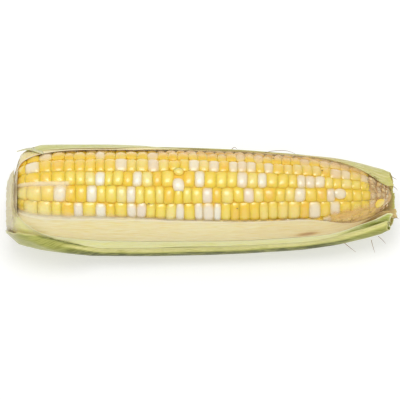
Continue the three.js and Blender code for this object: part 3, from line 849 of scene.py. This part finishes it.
def make_kernels():
    """All the kernels, as one piece for each kind."""
    parts = {"yellow": [], "white": [], "unripe": []}
    for row in range(KERNEL_ROWS):
        sides, rings = FINE_KERNEL if row in FINE_ROWS else PLAIN_KERNEL
        for k in range(KERNELS):
            x = kernel_middle(row, k)
            if kernel_end(row, k + 1) > LAST_KERNEL_END:
                continue
            look = kernel_look(row, k)
            white = hash01(row, k, WHITE_DRAW) < WHITE_SHARE or odd_one(row, k, PLAIN_WHITES)
            kind = "white" if white and not odd_one(row, k, PLAIN_YELLOWS) else "yellow"
            odd = odd_one(row, k, ODD_KERNELS)
            if odd:
                kind = odd[2]
                look.update(odd[3])
            if x > (UNRIPE_FROM if row in UNRIPE_ROWS else FRONT_UNRIPE_FROM):
                kind = "unripe"
                shrink = mix(0.72, 1.14, hash01(row, k, 53))
                look.update(
                    fit_u=shrink, fit_v=shrink, square=0.85, raise_by=mix(-0.35, 0.45, hash01(row, k, 54)),
                    turn=mix(-3.5, 3.5, hash01(row, k, 56)), lean=mix(-0.3, 0.3, hash01(row, k, 57)),
                )
            parts[kind].append((make_kernel(row, k, sides, rings, look), hash01(row, k, 52)))
            extra = odd_one(row, k, EXTRA_KERNELS)
            if extra:
                look = {**kernel_look(row, k), **extra[3]}
                parts[extra[2]].append((make_kernel(row, k, sides, rings, look), hash01(row, k, 55)))
    for kind, kernels in parts.items():
        points, faces = joined([solid for solid, _ in kernels])
        crowns = np.concatenate([solid[3] for solid, _ in kernels])
        tints = np.concatenate([np.full(len(solid[0]), tint) for solid, tint in kernels])
        # Painted shade: kernels turned towards the back are darker. Kernels towards the tip are more golden, a
        # tone of their own.
        away = np.degrees(np.arctan2(AXIS_Y - points[:, 1], points[:, 2] - AXIS_HEIGHT))
        behind = 0.38 * ease((-away - 4) / 20) + 0.5 * ease((-away - 32) / 20)
        back_shade_and_gold = np.clip(behind * ease((away + 150) / 20) + 0.36 * ease(points[:, 0] / 60), 0, 1)
        make_piece(
            f"kernels_{kind}", points, faces, KERNEL_MATERIALS[kind], slot="kernels", replaces=("ear",),
            attributes={"crown": crowns, "tint": tints, "back_shade_and_gold": back_shade_and_gold},
        )


def make_cob():
    """The cob under the kernels, from butt to tip."""
    xs = np.linspace(BUTT, TIP, COB_RINGS)
    x, a = lattice(xs, np.arange(COB_SIDES) / COB_SIDES * 360)
    rings = on_ear(x, a, COB_DEPTH * row_width(x))
    butt, tip = (around_axis(rings[end, 0, 0] + past, 0, 0) for end, past in ((0, 0), (-1, COB_TIP)))
    points, *faces = capped_rings(butt, rings, tip)
    at = np.concatenate([xs[:1], x.ravel(), xs[-1:]])
    make_piece(
        "cob", points, faces, COB, slot="kernels", replaces=("ear",),
        attributes={"crown": 0.6 + 0 * at, "tint": ease((at - 80) / 6), "back_shade_and_gold": 0 * at},
    )


# ---- The husk, the skins and the silk ----

def cut_back(cut, angle):
    """How far an end is cut back: most at the cut's own angle."""
    away = np.abs(near_to(angle, cut[0]) - cut[0]) / CUT_SPREAD
    return cut[1] * (1 - ease(away))


def leaf_lattice(order, leaf):
    """Where every point of a leaf is along and round the ear, its collar's first."""
    start, end = leaf["ends"]
    has_collar = "collar" in leaf
    arc = abs(along(leaf["hidden"], 0) - along(leaf["free"], 0))
    column = np.linspace(0, 1, int(arc * COLUMNS_PER_DEGREE)) ** EDGE_CROWDING
    row = np.linspace(0, 1, LEAF_ROWS)
    row = mix(row, 0.5 - 0.5 * np.cos(np.pi * row), 0.55)  # closer near both ends
    if has_collar:
        column = np.concatenate([np.linspace(-1, 0, COLLAR_COLUMNS)[:-1], column])
        row = np.concatenate([np.linspace(-1, 0, COLLAR_ROWS)[:-1], row])
    row, column = lattice(row, column)
    x = mix(start, end, np.maximum(row, 0))
    for _ in range(3):  # the ends depend on the angle, and the angle on the place along the ear
        wander = EDGE_WANDER * waves(x, order * 5 + 1, 4, 0.12) * ease((x + 92) / 8)
        free = along(leaf["free"], x) + wander
        angle = mix(free, along(leaf["hidden"], x), np.maximum(column, 0))
        if has_collar:
            angle = angle + (leaf["collar"] - free) * np.maximum(-column, 0)
        ragged = 0.5 + 0.5 * waves(angle, order * 5 + 2, 5, 0.35)
        first = start + cut_back(leaf.get("stalk_cut", STALK_CUT), angle) + RAGGED_END * ragged
        last = end - cut_back(leaf.get("tip_cut", (0, 0)), angle) - RAGGED_END * (1 - ragged)
        x = mix(first, last, row)
        if has_collar:
            knee = np.maximum(leaf["collar_line"] + 0.15 * waves(angle, order * 5 + 4, 3, 0.1), first + 0.8)
            x = np.where(row < 0, mix(knee, first, -row), mix(knee, last, row))
    present = (row <= 0) | (column >= 0)
    return x, angle, first, last, present


def close_sheet(outer, inner, present, flip):
    """The closed sheet between two lattices, and which of their points it uses."""
    size = outer[..., 0].size
    ids = np.arange(size).reshape(outer.shape[:2])
    cells = present[:-1, :-1] & present[1:, :-1] & present[:-1, 1:] & present[1:, 1:]
    corners = (ids[:-1, :-1], ids[:-1, 1:], ids[1:, 1:], ids[1:, :-1])
    out_quads = np.stack([corner[cells] for corner in corners], -1)
    edges = np.concatenate([out_quads[:, [n, (n + 1) % 4]] for n in range(4)])
    key = edges.min(1) * size + edges.max(1)
    _, back, count = np.unique(key, return_inverse=True, return_counts=True)
    rim = edges[count[back] == 1]
    walls = np.stack([rim[:, 1], rim[:, 0], rim[:, 0] + size, rim[:, 1] + size], -1)
    faces = np.concatenate([out_quads, out_quads[:, ::-1] + size, walls])
    if flip:
        faces = faces[:, ::-1]
    used = np.zeros(size * 2, bool)
    used[faces.ravel()] = True
    points = np.concatenate([outer.reshape(-1, 3), inner.reshape(-1, 3)])[used]
    return points, [(np.cumsum(used) - 1)[faces]], used


def make_leaf(order):
    """One leaf, as a closed sheet that replaces its node."""
    leaf = LEAVES[order]
    x, angle, first, last, present = leaf_lattice(order, leaf)
    distance = edge_distance(leaf, x, angle)
    near_edge = np.minimum(distance, np.minimum(x - first, last - x))
    inland = ease(near_edge / RIM_TAPER)
    thickness = LEAF_THICKNESS * mix(RIM_SHARE, 1.0, inland)
    offset = settled(order, x, angle) + thickness + ripple(order, x, angle) * inland
    further = spread_out(x, angle, offset) if order == len(LEAVES) - 1 else 0
    outer = on_husk(x, angle, offset, further)
    inner = on_husk(x, angle, offset - thickness, further)
    outer[..., 2] = np.maximum(outer[..., 2], 0)
    inner[..., 2] = np.maximum(inner[..., 2], LEAST_INNER_HEIGHT)
    flip = along(leaf["hidden"], 0) > along(leaf["free"], 0)
    points, faces, used = close_sheet(outer, inner, present, flip)
    hue = leaf["hue"](x, distance)
    stain = leaf["stain"](x, angle, distance) if "stain" in leaf else 0
    dry = ease((-91 - x) / 6) * leaf.get("dry", 0.85)
    side = np.concatenate([np.zeros(x.size), ease(np.ravel(near_edge) / INSIDE_FADES)])[used]
    near_edge = near_edge + (leaf["rimless"](x) if "rimless" in leaf else 0)
    make_piece(
        leaf["name"] + "_leaf", points, faces, LEAF_MATERIALS[leaf["slot"]], slot=leaf["slot"],
        replaces=(leaf["name"],), sharp=50,
        attributes={
            **on_both_faces(x, angle, used, edge=near_edge, hue=hue, stain=stain, dry=dry), "inside": side,
        },
    )


def make_film(name, ends, start, end, cover, material, height=0.1, rust=None):
    """A thin skin on the kernels. cover says how much it hides."""
    steps = int((ends[1] - ends[0]) * FILM_STEPS_PER_MM)
    x, share = lattice(np.linspace(*ends, steps), np.linspace(0, 1, FILM_COLUMNS))
    angle = mix(start(x), end(x), share)
    rise = height + 0.05 * waves(x * 0.9 + angle * 0.3, len(name), 3, 1.0)
    outer, inner = on_ear(x, angle, -rise), on_ear(x, angle, FILM_THICKNESS - rise)
    points, faces, _ = close_sheet(outer, inner, np.ones(x.shape, bool), True)
    shown = cover(x, share) * ease((x - ends[0]) / 1.5) * ease((ends[1] - x) / 3)
    burnt = rust(x, share) if rust else 0
    make_piece(
        name, points, faces, material, slot="husk_cream",
        attributes={
            **on_both_faces(x, angle, rust=burnt), "cover": np.concatenate([shown.ravel(), np.zeros(x.size)]),
        },
    )


def unit(vectors):
    return vectors / np.linalg.norm(vectors, axis=1)[:, None]


def make_strands(strands):
    """The silk: thin tapered tubes, each along its own points."""
    turn = np.arange(STRAND_SIDES) / STRAND_SIDES * 2 * np.pi
    cos, sin = np.cos(turn)[:, None], np.sin(turn)[:, None]
    across = (0.31, 0.17, 0.93)  # a direction that no strand runs in
    fine = np.linspace(0, 1, STRAND_POINTS)
    solids = []
    for line, radius in strands:
        line = np.asarray(line, float)
        t = np.linspace(0, 1, len(line))
        line = np.stack([along(list(zip(t, line[:, n])), fine) for n in range(3)], -1)
        ahead = np.gradient(line, axis=0)
        side = unit(np.cross(ahead, across))
        lift = unit(np.cross(ahead, side))
        width = radius * (1 - 0.6 * fine ** 2)[:, None, None]
        ring = line[:, None] + width * (cos * side[:, None] + sin * lift[:, None])
        ids = np.arange(ring[..., 0].size).reshape(ring.shape[:2])
        solids.append((ring.reshape(-1, 3), quads_round(ids), np.stack([ids[0][::-1], ids[-1]])))
    make_piece("silk", *joined(solids), SILK)


def seen_at(x, rise, toward):
    """A point by how it looks from the camera: along, across and nearer than the ear's axis."""
    tilt = math.radians(90 - CAMERA_ELEVATION)
    y = AXIS_Y + rise * math.cos(tilt) - toward * math.sin(tilt)
    z = AXIS_HEIGHT + rise * math.sin(tilt) + toward * math.cos(tilt)
    return (x, y, z)


def make_silk():
    """The loose hairs and specks in their places, and the tip's silk from a seeded draw."""
    strands = [([seen_at(*place) for place in hair], SILK_RADIUS) for hair in LOOSE_HAIRS]
    for x, angle in SPECKS:
        strands.append(([on_ear(x + step, angle, -0.15) for step in (-0.4, 0.1, 0.5)], SPECK_RADIUS))
    for n in range(SILK_COUNT):
        x = mix(83.5, 95, hash01(n, 1, 61))
        angle = mix(-66, 34, hash01(n, 1, 62))
        reach = mix(1.5, 4.5, hash01(n, 1, 63))
        heading = 6.28 * hash01(n, 1, 64)
        line = []
        for step in range(4):
            along_x = np.clip(x + reach * math.cos(heading) * step / 3, 82.5, 96)
            degrees = math.degrees(reach / along(EAR_PROFILE, along_x))
            turned = angle + degrees * math.sin(heading) * step / 3
            lift = mix(0.1, 0.7, hash01(n, step, 65))
            line.append(on_ear(along_x, turned, -lift))
        strands.append((line, mix(0.04, 0.08, hash01(n, 1, 66))))
    make_strands(strands)


def make_flap():
    """A loose pointed strip of husk at the back of the stalk end."""
    s, side = lattice(np.linspace(0, 1, 14), np.linspace(-1, 1, 7))
    x = mix(*FLAP_ENDS, s)
    radius = along(FLAP_RADIUS, s)
    angle = FLAP_ANGLE + side * mix(*FLAP_HALF_WIDTHS, s ** 1.3) - 2 * s
    outer, inner = around_axis(x, radius, angle), around_axis(x, radius - FLAP_THICKNESS, angle)
    points, faces, _ = close_sheet(outer, inner, np.ones(x.shape, bool), False)
    make_piece(
        "husk_flap", points, faces, LEAF_MATERIALS["husk_green"], slot="husk_green",
        attributes=on_both_faces(x, angle, edge=1 - np.abs(side), hue=1, stain=0, dry=0.35, inside=0),
    )


# ---- The materials ----

KERNEL_COLORS = {  # the stops from kernel to kernel, the sides, and how light spreads inside
    "yellow": (
        [(0, 251, 196, 26), (0.3, 252, 209, 44), (0.65, 251, 217, 84), (1, 247, 222, 136)],
        (252, 202, 44), 0.6, (1, 0.7, 0.3),
    ),
    "white": (
        [(0, 246, 238, 218), (0.5, 243, 230, 206), (1, 238, 218, 198)],
        (250, 208, 104), 0.6, (1, 0.9, 0.7),
    ),
    "unripe": (
        [(0, 228, 192, 130), (0.4, 234, 206, 166), (0.7, 220, 182, 126), (1, 240, 222, 192)],
        (202, 156, 104), 0.4, (1, 0.85, 0.6),
    ),
}
KERNEL_MATERIALS = {kind: kernel_material(f"kernel_{kind}", *look) for kind, look in KERNEL_COLORS.items()}
COB = kernel_material(
    "cob_skin", [(0, 250, 204, 76), (1, 206, 172, 126)], (250, 204, 76), 0.4, coat=0, roughness=0.8,
)
LEAF_COLORS = {  # the hue's stops, the rim and the veins
    "husk_cream": (
        [(0, 243, 230, 176), (0.35, 240, 220, 154), (0.7, 230, 212, 138), (1, 190, 186, 100)],
        (248, 240, 206), (248, 240, 202),
    ),
    "husk_pale_green": (
        [(0, 242, 238, 170), (0.4, 232, 228, 144), (1, 174, 182, 78)], (242, 240, 196), (236, 238, 186),
    ),
    "husk_green": (
        [(0, 216, 210, 148), (0.5, 190, 192, 110), (1, 156, 166, 84)], (220, 216, 160), (214, 218, 150),
    ),
    "husk_olive": (
        # The darkest stops are partly painted shade on the outer front leaf's underside.
        [(0, 240, 234, 150), (0.4, 186, 186, 92), (0.75, 124, 128, 42), (1, 80, 84, 12)],
        (216, 210, 142), (190, 190, 104),
    ),
}
LEAF_MATERIALS = {name: leaf_material(name, *colors) for name, colors in LEAF_COLORS.items()}
BROWN_FILM = film_material("skin_brown", (244, 210, 140), (220, 180, 118), 0.2)
CREAM_FILM = film_material("skin_cream", (255, 250, 222), (252, 240, 196), 0.06)
silk_nodes = Nodes("silk")
silk_nodes.shade(Base_Color=SILK_COLOR)
SILK = silk_nodes.material

# ---- The pieces ----

make_cob()
make_kernels()
for order in range(len(LEAVES)):
    make_leaf(order)


def free_edge(name, further=0):
    """The angle of a leaf's free edge along the ear, or so much further round, as a function."""
    free = next(leaf["free"] for leaf in LEAVES if leaf["name"] == name)
    return lambda x: along(free, x) + further


def skin_back_start(x):
    edge = [(-94, -28), (-86, -42), (-40, -50), (-20, -48), (10, -40), (60, -38), (86, -12)]
    return along(edge, x) + 2 * waves(x, 5, 4, 0.3)


def skin_back_cover(x, share):
    return ease(share * 1.6) * mix(0.4, 0.65, ease((x + 30) / 30)) + 0.4 * ease(share * 4 - 2.6)


def skin_back_rust(x, share):
    return ease((x - 82.6) / 1.6) * 0.9 + 0.2 * ease(share * 5 - 3.6) * ease((x + 20) / 20)


def skin_strip_cover(x, share):
    return 0.42 * ease(share * 30) * (1 - ease((share - 0.14) * 12)) + 0.36 * ease(share * 20) * (1 - share)


make_film(
    "skin_back", (-94, 85.5), skin_back_start, free_edge("husk_inner_back", -8), skin_back_cover, BROWN_FILM,
    rust=skin_back_rust,
)
make_film(
    "skin_front", (-94.5, 64),
    lambda x: free_edge("husk_inner_front")(x) - along([(-95, 15), (-60, 11), (-20, 7), (64, 4)], x),
    free_edge("husk_inner_front", 5),
    lambda x, share: 0.15 * ease(share * 4) + ease(share * 1.6 - 0.3), CREAM_FILM,
)
make_film(
    "skin_tip", (60, 94),
    lambda x: along([(60, 54), (70, 40), (80, 34), (86, 22), (94, 14)], x) + 3 * waves(x, 6, 4, 0.5),
    free_edge("husk_inner_front", 4),
    lambda x, share: 0.62 * ease(share * 3) * ease((x - 60) / 8), BROWN_FILM, height=0.25,
    rust=lambda x, share: 0.3 * (1 - ease(share * 4)) * ease((x - 84) / 4),
)
make_film(
    "skin_strip", (-95, -66), lambda x: 0.5 + 0 * x, lambda x: 38 + 0 * x, skin_strip_cover, CREAM_FILM,
    height=0.2,
)
make_silk()
make_flap()

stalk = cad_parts["stalk"]
stalk.data.materials.clear()
stalk.data.materials.append(stalk_material(stalk))

# ---- Floor, light and camera ----

floor_nodes = Nodes("floor")
floor_nodes.shade(
    Base_Color=(FLOOR_GREY, FLOOR_GREY, FLOOR_GREY, 1), Roughness=0.9, Emission_Color=(1, 1, 1, 1),
    Emission_Strength=FLOOR_GLOW,
)
floor_mesh = bpy.data.meshes.new("floor")
corners = [(FLOOR_REACH * x, FLOOR_REACH * y, 0) for x, y in ((-1, -1), (1, -1), (1, 1), (-1, 1))]
floor_mesh.from_pydata(corners, [], [(0, 1, 2, 3)])
floor_mesh.materials.append(floor_nodes.material)
floor = add_object("floor", floor_mesh)

world = bpy.data.worlds.new("world")
world.use_nodes = True
sky = world.node_tree.nodes["Background"]
sky.inputs["Color"].default_value = (1, 1, 1, 1)
sky.inputs["Strength"].default_value = SKY_STRENGTH
scene.world = world

key = bpy.data.lights.new("key", "AREA")
key.shape = "RECTANGLE"
key.size, key.size_y = KEY_SIZE
key.energy = KEY_POWER
key_light = add_object("key", key)
key_light.location = KEY_PLACE
key_light.rotation_mode = "QUATERNION"
key_light.rotation_quaternion = (Vector(KEY_TARGET) - Vector(KEY_PLACE)).to_track_quat("-Z", "Y")

elevation = math.radians(CAMERA_ELEVATION)
up = Vector((0, math.sin(elevation), math.cos(elevation)))
back = Vector((0, -math.cos(elevation), math.sin(elevation)))
distance = PIXEL * FRAME_PIXELS * MM * FOCAL / SENSOR
axis_middle = Vector((AIM_PIXELS * PIXEL, AXIS_Y, AXIS_HEIGHT)) * MM
aim = axis_middle - up * (FRAME_PIXELS / 2 - AXIS_PIXEL) * PIXEL * MM
camera_data = bpy.data.cameras.new("camera")
camera_data.lens = FOCAL
camera_data.sensor_width = SENSOR
camera_data.clip_start = 0.01
camera = add_object("camera", camera_data)
basis = Matrix(((1, 0, 0), up, back)).transposed()
roll = Matrix.Rotation(math.radians(CAMERA_ROLL), 3, back)
camera.matrix_world = Matrix.Translation(aim + back * distance) @ (roll @ basis).to_4x4()
scene.camera = camera
scene.view_settings.view_transform = "Standard"
